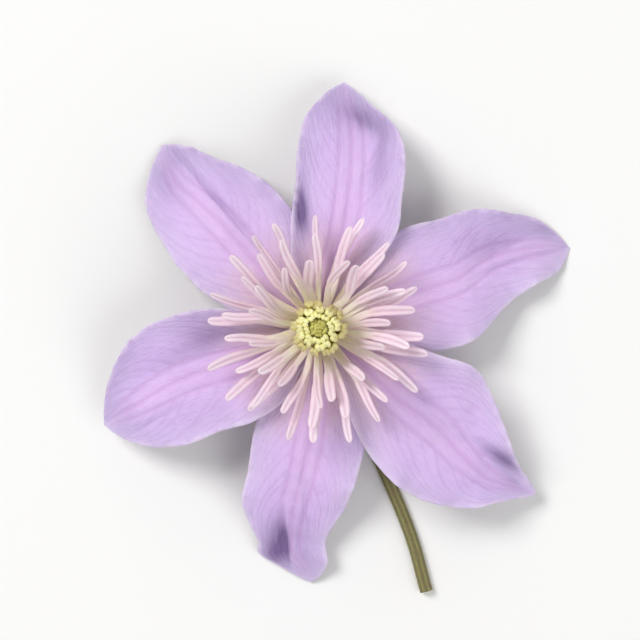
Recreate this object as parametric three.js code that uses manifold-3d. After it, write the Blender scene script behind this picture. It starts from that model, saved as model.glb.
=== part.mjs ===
// A clematis flower, picked with a short stalk and laid face up on a flat surface.
//
// Six lilac sepals stand in two whorls of three round a swollen seat at the stalk's top: the even
// ones lie over the odd ones. Above them a ring of strap-like outer stamens spreads out, then a cup
// of upright inner stamens, with a tuft of styles in the middle. The stalk bends under the flower
// and lies on the surface, so the flower rests on the stalk and on the tips of the lower sepals.
//
// Millimetres, +Z up. The origin is on the surface, under the middle of the flower's box.

import * as THREE from "three";
import { mergeVertices } from "three/addons/utils/BufferGeometryUtils.js";
import Module from "manifold-3d";

const { PI, sin, cos, tan, abs, min, max, sqrt, exp } = Math;
const RAD = PI / 180;

// ---- Driving dimensions ----

const HEART_HEIGHT = 12.5; // the flower's own zero, level with the sepals' seat, over the surface
const GAP = 0.3; // clearance between two pieces that touch

// The sepals. angle: degrees anticlockwise from +X, seen from above. reach: from the flower's axis
// to the tip. clockwise and anticlockwise: how far each margin stands from the straight line to the
// tip, at the shares MARGIN_SHARES of the length. rest: height of the tip over the surface. fall:
// slope of the tip. cup: how far the margins stand over the midline. twist: degrees that the tip is
// turned about the midline. phase: where its waves start.
const MARGIN_SHARES = [0, 0.16, 0.35, 0.52, 0.67, 0.81, 0.92, 1];
const SEPALS = [
  { name: "sepal_right", angle: 17.5, reach: 47.4,
    clockwise: [2.3, 7.0, 10.2, 10.2, 6.6, 4.3, 3.3, 0.4],
    anticlockwise: [2.3, 7.8, 12.0, 12.0, 11.8, 9.2, 6.2, 0.4],
    rest: 0.53, fall: -22, cup: -0.4, twist: 4, phase: 0.4 },
  { name: "sepal_top", angle: 84.0, reach: 44.2,
    clockwise: [2.3, 7.5, 11.8, 12.3, 12.2, 10.4, 4.8, 0.4],
    anticlockwise: [2.3, 5.5, 6.6, 6.6, 6.8, 6.5, 3.8, 0.4],
    rest: 3.2, fall: -32, cup: 0.9, twist: -5, phase: 2.1 },
  { name: "sepal_top_left", angle: 130.5, reach: 43.2,
    clockwise: [2.3, 6.5, 9.6, 10.0, 8.4, 5.4, 3.2, 0.4],
    anticlockwise: [2.3, 8.0, 11.2, 11.8, 11.4, 9.8, 6.0, 0.4],
    rest: 0.68, fall: -24, cup: -0.6, twist: -6, phase: 4.4 },
  { name: "sepal_left", angle: 204.4, reach: 42.0,
    clockwise: [2.3, 7.5, 11.2, 12.6, 12.4, 9.5, 5.6, 0.5],
    anticlockwise: [2.3, 8.5, 10.2, 9.4, 9.2, 7.6, 4.6, 0.5],
    rest: 4.4, fall: -28, cup: 1.4, twist: 5, phase: 1.2 },
  { name: "sepal_bottom", angle: 268.0, reach: 45.6,
    clockwise: [2.3, 7.5, 10.6, 11.6, 12.4, 9.9, 6.0, 0.5],
    anticlockwise: [2.3, 7.0, 9.0, 8.0, 6.0, 2.7, 3.1, 1.1],
    rest: 0.675, fall: -26, cup: -0.5, twist: 5, phase: 3.3 },
  { name: "sepal_bottom_right", angle: 322.7, reach: 49.0,
    clockwise: [2.3, 7.2, 11.8, 13.6, 12.8, 9.4, 4.0, 0.4],
    anticlockwise: [2.3, 6.2, 8.9, 11.0, 7.8, 3.6, 1.5, 0.4],
    rest: 3.6, fall: -26, cup: 0.8, twist: -4, phase: 5.6 },
];
const SEPAL_THICKNESS = 0.7;
const SEPAL_LIFT = 12; // degrees that a sepal climbs as it leaves the seat
const WHORL_HEIGHT = { lower: -0.75, upper: 0.35 }; // midline at the seat, from the heart
const WAVE_HEIGHT = 1.0;
const WAVES = 2.6; // along a margin
const VEIN_DEPTH = 0.3; // of the grooves over the main veins
const VEIN_PLACES = [-0.24, 0, 0.24]; // of the half width
const SEPAL_STEPS = 22; // along
const SEPAL_COLUMNS = [-1, -0.8, -0.6, -0.42, -0.24, -0.12, 0, 0.12, 0.24, 0.42, 0.6, 0.8, 1];

// The stalk and the seat on top of it, from the heart.
const STALK_RADIUS = 1.15;
const STALK_RIBS = 6;
const RIB_HEIGHT = 0.1;
const STALK_FLAT = 0.2; // how deep its underside is pressed flat where it lies
const STALK_HEADING = 293; // degrees, in the gap between two sepals
const STALK_REACH = 51; // from the axis to the cut end
const SEAT_RADIUS = 2.9;
const SEAT_BOTTOM = -1.6;
const SEAT_TOP = 4.6;

// Stamens and styles. Each whorl: how many, where they root, where they aim and where they end, as
// [distance from the axis, height over the heart], and how much the ends vary.
const OUTER_WHORLS = [
  { count: 20, turn: 0.0, root: [3.4, 1.9], aim: [11.0, 3.2], end: [19.6, 6.4], vary: 2.4 },
  { count: 18, turn: 0.4, root: [3.4, 2.1], aim: [8.8, 4.8], end: [17.2, 9.0], vary: 2.6 },
  { count: 15, turn: 0.1, root: [3.7, 2.0], aim: [7.4, 5.4], end: [13.0, 10.6], vary: 2.4 },
];
const INNER_WHORLS = [
  { count: 13, turn: 0.2, root: [3.2, 3.4], aim: [5.6, 8.5], end: [3.8, 13.0], vary: 0.6 },
  { count: 12, turn: 0.0, root: [2.9, 3.4], aim: [4.6, 9.8], end: [2.8, 14.2], vary: 0.5 },
  { count: 10, turn: 0.5, root: [2.6, 3.4], aim: [3.5, 10.0], end: [1.95, 14.6], vary: 0.4 },
];
const STYLE_WHORLS = [
  { count: 1, turn: 0.0, root: [0.0, 5.2], aim: [0.1, 9.5], end: [0.1, 14.6], vary: 0.1 },
  { count: 6, turn: 0.2, root: [0.6, 5.2], aim: [0.75, 9.5], end: [0.6, 14.4], vary: 0.2 },
  { count: 12, turn: 0.6, root: [1.2, 5.2], aim: [1.4, 9.0], end: [1.15, 14.1], vary: 0.2 },
];

// Widths and thicknesses along each kind of strap: [share of the length, width, thickness].
const OUTER_STRAP = [
  [0, 1.1, 0.8], [0.22, 1.0, 0.65], [0.42, 1.1, 0.65], [0.58, 1.45, 0.7],
  [0.74, 1.65, 0.85], [0.9, 1.4, 0.75], [1, 0.6, 0.5],
];
const INNER_STRAP = [
  [0, 1.1, 0.8], [0.35, 1.0, 0.65], [0.58, 1.15, 0.75], [0.7, 1.55, 0.95], [0.9, 1.45, 0.95], [1, 0.7, 0.6],
];
const STYLE_STRAP = [[0, 0.7, 0.7], [0.5, 0.62, 0.62], [0.85, 0.66, 0.6], [1, 0.4, 0.4]];

// ---- Small helpers ----

const wasm = await Module();
wasm.setup();

const smooth = (x) => {
  const c = min(1, max(0, x));
  return c * c * (3 - 2 * c);
};

const bell = (x, width) => exp(-((x / width) ** 2));

// An even spread of numbers from -0.5 to 0.5 that is the same on every run.
function jitter(index, channel) {
  const x = sin(index * 12.9898 + channel * 78.233) * 43758.5453;
  return x - Math.floor(x) - 0.5;
}

function solidFrom(geometry) {
  const bare = new THREE.BufferGeometry();
  bare.setAttribute("position", geometry.getAttribute("position"));
  if (geometry.index) bare.setIndex(geometry.index);
  const merged = mergeVertices(bare, 1e-4);
  return new wasm.Manifold(
    new wasm.Mesh({
      numProp: 3,
      vertProperties: merged.attributes.position.array,
      triVerts: new Uint32Array(merged.index.array),
    }),
  );
}

function geometryFrom(solid) {
  const mesh = solid.getMesh();
  const geometry = new THREE.BufferGeometry();
  geometry.setAttribute("position", new THREE.BufferAttribute(mesh.vertProperties, 3));
  geometry.setIndex(new THREE.BufferAttribute(mesh.triVerts, 1));
  geometry.computeVertexNormals();
  return geometry;
}

// ---- Sepals ----

const whorlOf = (index) => (index % 2 ? "upper" : "lower");

// A smooth curve through values at the shares MARGIN_SHARES, at the share s.
function marginAt(values, s) {
  const x = MARGIN_SHARES;
  const last = x.length - 1;
  const i = max(0, x.findIndex((share) => share >= s) - 1);
  const slope = (k) => {
    const before = max(0, k - 1);
    const after = min(last, k + 1);
    return (values[after] - values[before]) / (x[after] - x[before]);
  };
  const width = x[i + 1] - x[i];
  const u = (s - x[i]) / width;
  return (
    (2 * u ** 3 - 3 * u ** 2 + 1) * values[i] +
    (u ** 3 - 2 * u ** 2 + u) * width * slope(i) +
    (-2 * u ** 3 + 3 * u ** 2) * values[i + 1] +
    (u ** 3 - u ** 2) * width * slope(i + 1)
  );
}

// Height of a sepal's midline over the heart: a cubic from the seat to the tip.
function midlineHeight(sepal, whorl, s) {
  const run = sepal.reach - SEAT_RADIUS - GAP;
  const start = WHORL_HEIGHT[whorl];
  const end = sepal.rest - HEART_HEIGHT;
  const climb = run * tan(SEPAL_LIFT * RAD);
  const drop = run * tan(sepal.fall * RAD);
  return (
    (2 * s ** 3 - 3 * s ** 2 + 1) * start +
    (s ** 3 - 2 * s ** 2 + s) * climb +
    (-2 * s ** 3 + 3 * s ** 2) * end +
    (s ** 3 - s ** 2) * drop
  );
}

// A point of a sepal's middle surface: s runs from the seat to the tip, and t from the clockwise
// margin, -1, to the other, 1. The heart is at zero.
function sepalPoint(sepal, whorl, s, t) {
  const baseRadius = SEAT_RADIUS + GAP;
  const clockwise = marginAt(sepal.clockwise, s);
  const anticlockwise = marginAt(sepal.anticlockwise, s);
  const middle = (anticlockwise - clockwise) / 2;
  const half = (anticlockwise + clockwise) / 2;
  const opened = smooth((s - 0.12) / 0.4);

  const fold = sepal.cup * t * t * opened;
  const wave =
    WAVE_HEIGHT * abs(t) ** 3 * smooth((s - 0.3) / 0.3) * smooth((1 - s) / 0.15) *
    sin(2 * PI * WAVES * s + sepal.phase + (t > 0 ? 1.9 : 0));
  const grooves = VEIN_PLACES.reduce((sum, place) => sum + bell(t - place, 0.07), 0);
  const vein = -VEIN_DEPTH * grooves * smooth(s / 0.12) * smooth((1 - s) / 0.25);

  const turn = sepal.twist * RAD * smooth((s - 0.25) / 0.75);
  const across = half * t;
  const up = fold + wave + vein;
  const sideways = middle + across * cos(turn) - up * sin(turn);
  const height = midlineHeight(sepal, whorl, s) + across * sin(turn) + up * cos(turn);

  // The first edge follows the round seat, and the following ones straighten.
  const wrapped = baseRadius - sqrt(max(0, baseRadius ** 2 - min(abs(sideways), baseRadius) ** 2));
  const along = baseRadius + (sepal.reach - baseRadius) * s - wrapped * (1 - smooth(s / 0.1));

  const a = sepal.angle * RAD;
  return new THREE.Vector3(
    along * cos(a) - sideways * sin(a),
    along * sin(a) + sideways * cos(a),
    height,
  );
}

// A blade between two faces that are split into triangles alike, closed round its edge.
function bladeGeometry(point, rows, columns, thickness) {
  const step = 1e-3;
  const positions = [];
  const wide = columns.length;
  for (const side of [0.5, -0.5]) {
    for (let i = 0; i <= rows; i++) {
      for (const t of columns) {
        const s = i / rows;
        const alongEdge = point(min(1, s + step), t).sub(point(max(0, s - step), t));
        const acrossEdge = point(s, min(1, t + step)).sub(point(s, max(-1, t - step)));
        const normal = alongEdge.cross(acrossEdge).normalize();
        positions.push(...point(s, t).addScaledVector(normal, side * thickness).toArray());
      }
    }
  }

  const under = (rows + 1) * wide;
  const faces = [];
  const quad = (a, b, c, d) => faces.push(a, b, c, a, c, d);
  for (let i = 0; i < rows; i++) {
    for (let j = 0; j < wide - 1; j++) {
      const a = i * wide + j;
      quad(a, a + wide, a + wide + 1, a + 1);
      faces.push(under + a, under + a + wide + 1, under + a + wide);
      faces.push(under + a, under + a + 1, under + a + wide + 1);
    }
    const left = i * wide;
    const right = left + wide - 1;
    quad(left, left + under, left + under + wide, left + wide);
    quad(right, right + wide, right + under + wide, right + under);
  }
  for (let j = 0; j < wide - 1; j++) {
    const last = rows * wide + j;
    quad(j, j + 1, j + 1 + under, j + under);
    quad(last, last + under, last + under + 1, last + 1);
  }

  const geometry = new THREE.BufferGeometry();
  geometry.setAttribute("position", new THREE.Float32BufferAttribute(positions, 3));
  geometry.setIndex(faces);
  geometry.computeVertexNormals();
  return geometry;
}

// ---- Stamens and styles ----

// The route of one strap of a whorl, from its root to its end, and the direction of its width, which
// is square to the flower's radius.
function strapRoute(whorl, index, seed) {
  const turn = whorl.turn + index + 0.5 * jitter(index, seed);
  const a = (2 * PI * turn) / whorl.count;
  const out = whorl.vary * jitter(index, seed + 1);
  const up = whorl.vary * jitter(index, seed + 2);
  const lean = whorl.vary * jitter(index, seed + 3);
  const spot = ([radius, height], sideways) =>
    new THREE.Vector3(
      radius * cos(a) - sideways * sin(a),
      radius * sin(a) + sideways * cos(a),
      height,
    );
  const curve = new THREE.QuadraticBezierCurve3(
    spot(whorl.root, 0),
    spot([whorl.aim[0], whorl.aim[1] + 0.5 * up], -0.4 * lean),
    spot([whorl.end[0] + out, whorl.end[1] + up], lean),
  );
  return { curve, across: new THREE.Vector3(-sin(a), cos(a), 0) };
}

// A closed strap with a diamond section along a route.
function strapSolid({ curve, across }, stations) {
  const positions = [];
  const sides = 4;
  for (const [share, width, thickness] of stations) {
    const centre = curve.getPoint(share);
    const away = curve.getTangent(share).cross(across).normalize();
    positions.push(
      ...centre.clone().addScaledVector(across, width / 2).toArray(),
      ...centre.clone().addScaledVector(away, thickness / 2).toArray(),
      ...centre.clone().addScaledVector(across, -width / 2).toArray(),
      ...centre.clone().addScaledVector(away, -thickness / 2).toArray(),
    );
  }

  const faces = [];
  for (let i = 0; i < stations.length - 1; i++) {
    for (let j = 0; j < sides; j++) {
      const a = i * sides + j;
      const b = i * sides + ((j + 1) % sides);
      faces.push(a, b, b + sides, a, b + sides, a + sides);
    }
  }
  const last = (stations.length - 1) * sides;
  faces.push(0, 2, 1, 0, 3, 2, last, last + 1, last + 2, last, last + 2, last + 3);

  const geometry = new THREE.BufferGeometry();
  geometry.setAttribute("position", new THREE.Float32BufferAttribute(positions, 3));
  geometry.setIndex(faces);
  return solidFrom(geometry);
}

// A solid turned about the flower's axis from [radius, height] points.
function turnedSolid(profile, segments = 24) {
  const points = profile.map(([radius, height]) => new THREE.Vector2(radius, height));
  return solidFrom(new THREE.LatheGeometry(points, segments).rotateX(PI / 2));
}

function tuftGeometry(whorls, stations, collar, seed) {
  const straps = whorls.flatMap((whorl, row) =>
    Array.from({ length: whorl.count }, (_, index) =>
      strapSolid(strapRoute(whorl, index, seed + 10 * row), stations),
    ),
  );
  return geometryFrom(wasm.Manifold.union([turnedSolid(collar), ...straps]));
}

// A ring round the seat, from its inner to its outer radius.
const ringProfile = (inner, outer, bottom, top) => [
  [inner, bottom], [outer, bottom], [outer, top], [inner, top], [inner, bottom],
];

// ---- Stalk and seat ----

function stalkGeometry() {
  const lying = STALK_RADIUS - STALK_FLAT - HEART_HEIGHT; // height of its lying stretch
  const heading = STALK_HEADING * RAD;
  const at = (distance, height, sideways = 0) =>
    new THREE.Vector3(
      distance * cos(heading) - sideways * sin(heading),
      distance * sin(heading) + sideways * cos(heading),
      height,
    );
  const bendRadius = SEAT_BOTTOM - 0.6 - lying;
  const quarter = [0, 22.5, 45, 67.5, 90].map((degrees) =>
    at(bendRadius * (1 - cos(degrees * RAD)), lying + bendRadius * (1 - sin(degrees * RAD))),
  );
  const route = new THREE.CatmullRomCurve3([
    at(0, SEAT_BOTTOM + 0.6),
    ...quarter,
    at(bendRadius + 1.5, lying),
    at(bendRadius + 4, lying, 0.1),
    at(20, lying, 0.5),
    at(30, lying, 0.9),
    at(41, lying, 0.7),
    at(STALK_REACH, lying, -0.6),
  ]);

  const section = new THREE.Shape();
  const points = 2 * STALK_RIBS;
  for (let i = 0; i < points; i++) {
    const radius = STALK_RADIUS + (i % 2 ? -RIB_HEIGHT : 0);
    const a = (2 * PI * i) / points;
    const x = radius * cos(a);
    const y = radius * sin(a);
    if (i === 0) section.moveTo(x, y);
    else section.lineTo(x, y);
  }
  section.closePath();
  const rod = solidFrom(
    new THREE.ExtrudeGeometry(section, { steps: 34, extrudePath: route, bevelEnabled: false }),
  );

  const seat = turnedSolid([
    [0, SEAT_BOTTOM - 3.2],
    [STALK_RADIUS, SEAT_BOTTOM - 3.2],
    [STALK_RADIUS + 0.35, SEAT_BOTTOM - 1.6],
    [SEAT_RADIUS - 0.5, SEAT_BOTTOM - 0.3],
    [SEAT_RADIUS, SEAT_BOTTOM + 0.2],
    [SEAT_RADIUS, 1.0],
    [SEAT_RADIUS - 0.25, 1.2],
    [SEAT_RADIUS - 0.25, 2.55],
    [2.0, 2.6],
    [2.0, 4.0],
    [1.4, SEAT_TOP - 0.2],
    [0, SEAT_TOP],
  ]);

  const surface = solidFrom(
    new THREE.BoxGeometry(200, 200, 10).translate(0, 0, -HEART_HEIGHT - 5),
  );
  return geometryFrom(rod.add(seat).subtract(surface));
}

// ---- The flower ----

const lilac = new THREE.MeshStandardMaterial({ color: 0xcfb0e6, roughness: 0.6, side: THREE.DoubleSide });
const pinkWhite = new THREE.MeshStandardMaterial({ color: 0xf0d9e2, roughness: 0.6 });
const yellow = new THREE.MeshStandardMaterial({ color: 0xdcd582, roughness: 0.6 });
const yellowGreen = new THREE.MeshStandardMaterial({ color: 0xb3b048, roughness: 0.6 });
const green = new THREE.MeshStandardMaterial({ color: 0x6f7f3a, roughness: 0.65 });

const bloom = new THREE.Group();
bloom.position.z = HEART_HEIGHT;

function place(name, geometry, material) {
  const mesh = new THREE.Mesh(geometry, material);
  mesh.name = name;
  bloom.add(mesh);
}

place("stalk", stalkGeometry(), green);
SEPALS.forEach((sepal, index) => {
  const point = (s, t) => sepalPoint(sepal, whorlOf(index), s, t);
  place(sepal.name, bladeGeometry(point, SEPAL_STEPS, SEPAL_COLUMNS, SEPAL_THICKNESS), lilac);
});
place(
  "outer_stamens",
  tuftGeometry(OUTER_WHORLS, OUTER_STRAP, ringProfile(2.95, 4.0, 1.5, 2.6), 1),
  pinkWhite,
);
place(
  "inner_stamens",
  tuftGeometry(INNER_WHORLS, INNER_STRAP, ringProfile(2.3, 3.5, 2.9, 3.9), 5),
  yellow,
);
place(
  "pistil",
  tuftGeometry(STYLE_WHORLS, STYLE_STRAP, [[0, 4.9], [1.7, 4.9], [1.7, 5.4], [0, 5.9]], 9),
  yellowGreen,
);

// The origin goes under the middle of the flower's box.
const flower = new THREE.Group();
flower.add(bloom);
const box = new THREE.Box3().setFromObject(flower);
bloom.position.x = -(box.min.x + box.max.x) / 2;
bloom.position.y = -(box.min.y + box.max.y) / 2;

export default flower;
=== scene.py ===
"""A clematis flower, picked with a short stalk and laid face up on a pale floor.

Every piece is built here in millimetres from the flower's heart, the point on its axis that is level
with the sepals' seat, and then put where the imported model's crown says the heart is. The shapes follow
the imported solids: the same outlines, whorls and routes, with finer surfaces.
"""

import math

import bpy
import numpy as np
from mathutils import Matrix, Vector


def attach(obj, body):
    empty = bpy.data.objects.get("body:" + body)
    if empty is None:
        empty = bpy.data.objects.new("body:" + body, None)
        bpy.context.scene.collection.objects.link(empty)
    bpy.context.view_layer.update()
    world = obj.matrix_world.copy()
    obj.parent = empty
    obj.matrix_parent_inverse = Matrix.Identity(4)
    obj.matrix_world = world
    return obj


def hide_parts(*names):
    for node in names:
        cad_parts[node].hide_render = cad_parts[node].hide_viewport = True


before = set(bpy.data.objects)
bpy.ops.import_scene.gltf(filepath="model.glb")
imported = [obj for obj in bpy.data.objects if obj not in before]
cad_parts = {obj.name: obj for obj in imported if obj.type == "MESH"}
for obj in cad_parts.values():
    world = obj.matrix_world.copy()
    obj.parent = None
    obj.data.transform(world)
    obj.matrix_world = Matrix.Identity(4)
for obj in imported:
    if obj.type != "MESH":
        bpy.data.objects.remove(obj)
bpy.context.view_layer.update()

MM = 0.001

# ---- The flower's dimensions, in millimetres and degrees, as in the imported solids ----
# Heights are from the flower's heart and distances from its axis, unless a comment says otherwise.

SEAT_RADIUS = 2.9  # of the swollen seat that carries every piece
SEAT_BOTTOM = -1.6
SEAT_TOP = 4.6
GAP = 0.3  # between the seat and the solids round it

# The sepals, seen from above.
# angle: direction of the tip, anticlockwise from +X. reach: distance of the tip.
# upper: whether the sepal is in the upper whorl.
# clockwise, anticlockwise: how far each margin stands from the straight line between the seat and
#     the tip, at MARGIN_SHARES of that line.
# rest: height of the tip over the floor. fall: slope at the tip.
# cup: how far the margins stand over the midline. twist: turn of the blade at the tip.
# phase: where the margins' waves start, in radians.
# edges: how much painted shade darkens the clockwise and the anticlockwise margin.
# lobe: in the clockwise margin, as (place and length as shares of the line, height).
# marks: creases and patches, each as (distance from the axis, distance from the line, heading from
#     the line, length, width on its anticlockwise side, width on the other side, height, darkness).
#     A height under zero is a crease. Darkness is painted shade; under zero it is a pinker painted
#     highlight.
MARGIN_SHARES = np.array([0, 0.16, 0.35, 0.52, 0.67, 0.81, 0.92, 1])
SEPALS = {
    "right": dict(
        angle=17.5, reach=47.4, upper=False,
        clockwise=[2.3, 7.0, 10.2, 10.2, 6.6, 4.3, 3.3, 0.4],
        anticlockwise=[2.3, 7.8, 12.0, 12.0, 11.8, 9.2, 6.2, 0.4],
        rest=0.53, fall=-22, cup=-0.4, twist=4, phase=0.4,
        edges=(0.15, 0.75),
        marks=[
            (36.2, 3.9, 8, 11, 3.4, 0.9, -0.40, 0.29),
            (44.0, 4.5, -20, 7, 1.6, 1.6, 0.0, 0.30),
            (34.0, 0.6, 4, 10, 0.8, 0.5, -0.25, 0.12),
            (25.5, -0.9, 0, 13, 2.6, 3.0, 0.15, -0.6),
            (21.0, -7.0, -4, 12, 3.0, 3.0, 0.0, -0.7),
            (41.5, -1.0, 0, 9, 4.0, 3.0, 0.0, -0.8),
            (30.5, 6.5, 0, 10, 3.0, 3.0, 0.0, 0.20),
            (43.5, 0.3, -6, 6, 0.9, 0.5, -0.30, 0.12),
        ],
    ),
    "top": dict(
        angle=84.0, reach=44.2, upper=True,
        clockwise=[2.3, 7.5, 11.8, 12.3, 12.2, 10.4, 4.8, 0.4],
        anticlockwise=[2.3, 5.5, 6.6, 6.6, 6.8, 6.5, 3.8, 0.4],
        rest=3.2, fall=-32, cup=0.9, twist=-5, phase=2.1,
        edges=(0.45, 0.8),
        marks=[
            (20.9, 5.5, 16, 9.0, 1.6, 1.4, -1.1, 1.4),
            (37.4, -4.5, 60, 7.0, 1.5, 2.4, -0.4, 0.62),
            (39.5, 0.0, 0, 9, 4.5, 4.5, 0.0, 0.3),
            (32.5, -1.5, 0, 8, 3.0, 3.0, 0.0, 0.12),
            (32.0, -7.8, -2, 13, 1.2, 1.9, -0.2, 0.44),
            (27.6, -2.9, 0, 14, 3.0, 3.0, 0.15, -0.5),
        ],
    ),
    "top_left": dict(
        angle=130.5, reach=43.2, upper=False,
        clockwise=[2.3, 6.5, 9.6, 10.0, 8.4, 5.4, 3.2, 0.4],
        anticlockwise=[2.3, 8.0, 11.2, 11.8, 11.4, 9.8, 6.0, 0.4],
        rest=0.68, fall=-24, cup=-0.6, twist=-6, phase=4.4,
        edges=(0.7, 0.3),
        marks=[
            (30.0, -0.9, 0, 22, 0.4, 1.2, -0.6, 0.33),
            (31.0, -5.0, 0, 12, 2.4, 3.0, -0.2, 0.14),
            (37.5, 4.0, -10, 8, 2.5, 2.5, 0.0, 0.30),
            (40.0, 0.0, 0, 5, 3.0, 3.0, 0.0, 0.24),
            (27.2, 2.2, 0, 14, 2.6, 1.8, 0.2, -0.8),
        ],
    ),
    "left": dict(
        angle=204.4, reach=42.0, upper=True,
        clockwise=[2.3, 7.5, 11.2, 12.6, 12.4, 9.5, 5.6, 0.5],
        anticlockwise=[2.3, 8.5, 10.2, 9.4, 9.2, 7.6, 4.6, 0.5],
        rest=4.4, fall=-28, cup=1.4, twist=5, phase=1.2,
        edges=(0.75, 0.2),
        marks=[
            (16.6, -6.5, -5, 12, 2.2, 3.2, -0.35, 0.64),
            (27.0, -5.2, -6, 15, 0.9, 3.4, -0.2, 0.22),
            (29.5, -0.8, 0, 14, 2.2, 2.0, 0.2, -0.65),
            (33.5, 3.0, 5, 9, 0.4, 0.9, -0.3, 0.16),
            (26.0, 5.5, 0, 16, 3.5, 3.5, 0.0, 0.16),
            (38.5, 0.0, 0, 6, 4.0, 4.0, 0.0, 0.10),
        ],
    ),
    "bottom": dict(
        angle=268.0, reach=45.6, upper=False,
        clockwise=[2.3, 7.5, 10.6, 11.6, 12.4, 9.9, 6.0, 0.5],
        anticlockwise=[2.3, 7.0, 9.0, 8.0, 6.0, 2.7, 3.1, 1.1],
        rest=0.675, fall=-26, cup=-0.5, twist=5, phase=3.3,
        edges=(0.15, 0.2), lobe=(0.885, 0.04, 1.9),
        marks=[
            (38.2, -4.4, 8, 8.0, 0.5, 3.0, -1.2, 1.0),
            (40.6, -6.8, 20, 4.5, 1.5, 2.2, 0.0, 0.52),
            (42.5, -1.0, 0, 5, 3.0, 3.0, 0.0, 0.14),
            (37.0, -3.0, 0, 12, 5.0, 5.0, 0.0, 0.2),
            (25.2, -0.5, 0, 15, 3.2, 3.0, 0.15, -0.6),
            (26.5, 6.0, -6, 12, 2.6, 2.6, 0.0, -0.3),
            (31.0, -1.5, 4, 12, 0.9, 0.5, -0.3, 0.10),
        ],
    ),
    "bottom_right": dict(
        angle=322.7, reach=49.0, upper=True,
        clockwise=[2.3, 7.2, 11.8, 13.6, 12.8, 9.4, 4.0, 0.4],
        anticlockwise=[2.3, 6.2, 8.9, 11.0, 7.8, 3.6, 1.5, 0.4],
        rest=3.6, fall=-26, cup=0.8, twist=-4, phase=5.6,
        edges=(0.15, 0.15),
        marks=[
            (39.9, 1.3, 0, 8.0, 1.0, 1.2, -0.7, 0.78),
            (44.4, -0.6, -6, 5.5, 0.6, 1.8, -0.3, 0.25),
            (41.6, 2.2, 0, 6, 1.0, 1.0, 0.0, 0.25),
            (20.5, 6.8, 0, 8, 2.0, 2.0, 0.0, 0.16),
            (23.5, 0.4, 0, 9, 4.0, 3.0, 0.0, 0.08),
            (28.0, -3.5, 0, 16, 3.5, 4.0, 0.15, -0.4),
            (27.0, 6.5, 4, 9, 2.5, 2.5, 0.0, -0.3),
        ],
    ),
}
SOLID_THICKNESS = 0.7  # of the sepals' solids
SEPAL_LIFT = 12  # slope of the sepals at the seat
LOWER_HEIGHT = -0.75  # of the lower whorl at the seat
UPPER_HEIGHT = 0.35
WAVE_HEIGHT = 1.0
WAVES = 2.6  # along a margin
WAVE_OFFSET = 1.9  # of one margin's waves from the other's, in radians

# Whorls of straps. turn: how far the first strap is turned, in steps between neighbours. root, aim
# and end: where a strap starts, bends towards and ends, as (distance, height). vary: how far apart
# the ends are spread.
OUTER_WHORLS = [
    dict(count=20, turn=0.0, root=(3.4, 1.9), aim=(11.0, 3.2), end=(19.6, 6.4), vary=2.4),
    dict(count=18, turn=0.4, root=(3.4, 2.1), aim=(8.8, 4.8), end=(17.2, 9.0), vary=2.6),
    dict(count=15, turn=0.1, root=(3.7, 2.0), aim=(7.4, 5.4), end=(13.0, 10.6), vary=2.4),
]
INNER_WHORLS = [
    dict(count=13, turn=0.2, root=(3.2, 3.4), aim=(5.6, 8.5), end=(3.8, 13.0), vary=0.6),
    dict(count=12, turn=0.0, root=(2.9, 3.4), aim=(4.6, 9.8), end=(2.8, 14.2), vary=0.5),
    dict(count=10, turn=0.5, root=(2.6, 3.4), aim=(3.5, 10.0), end=(1.95, 14.6), vary=0.4),
]
STYLE_WHORLS = [
    dict(count=1, turn=0.0, root=(0.0, 5.2), aim=(0.1, 9.5), end=(0.1, 14.6), vary=0.1),
    dict(count=6, turn=0.2, root=(0.6, 5.2), aim=(0.75, 9.5), end=(0.6, 14.4), vary=0.2),
    dict(count=12, turn=0.6, root=(1.2, 5.2), aim=(1.4, 9.0), end=(1.15, 14.1), vary=0.2),
]

STALK_RADIUS = 1.15
STALK_RIBS = 6
STALK_FLAT = 0.2  # how much of it is cut away where it lies on the floor
STALK_HEADING = 293
STALK_REACH = 51
STALK_FURROW = 0.2  # depth between two ribs
CUT_RINGS = [(0.86, 0.0, 0.4), (0.5, 0.08, 1), (0.12, 0.2, 1)]  # share of the radius, depth, paleness

# The heart is straight under the seat's crown, the highest point of the stalk's solid.
crown = max((v.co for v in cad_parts["stalk"].data.vertices), key=lambda co: co.z)
HEART = np.array(crown) / MM - [0, 0, SEAT_TOP]
HEART_HEIGHT = HEART[2]


# ---- Camera: straight down at the flower, with the photograph's framing ----

VIEW_WIDTH = 113.6  # of what is seen at VIEW_LEVEL
VIEW_LEVEL = -6.0  # from the heart, halfway down the sepals
VIEW_OFFSET = (0.3, 1.4)  # of the view's middle from the heart
LENS = 200.0
SENSOR = 36.0


def make_camera():
    data = bpy.data.cameras.new("camera")
    data.lens = LENS
    data.sensor_width = SENSOR
    data.clip_start = 10 * MM
    data.clip_end = 10000 * MM
    camera = bpy.data.objects.new("camera", data)
    height = VIEW_LEVEL + VIEW_WIDTH * LENS / SENSOR
    camera.location = (HEART + [*VIEW_OFFSET, height]) * MM
    bpy.context.scene.collection.objects.link(camera)
    bpy.context.scene.camera = camera


make_camera()


# ---- Small helpers ----


def smooth(x):
    """Rises smoothly from 0 to 1 as x does."""
    c = np.clip(x, 0, 1)
    return c * c * (3 - 2 * c)


def bell(x, width):
    """1 where x is 0, and near 0 from about twice the width on."""
    return np.exp(-((x / width) ** 2))


def jitter(index, channel):
    """An even spread of numbers from -0.5 to 0.5, the same on every run."""
    x = math.sin(index * 12.9898 + channel * 78.233) * 43758.5453  # the usual sine hash
    return x - math.floor(x) - 0.5


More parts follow.
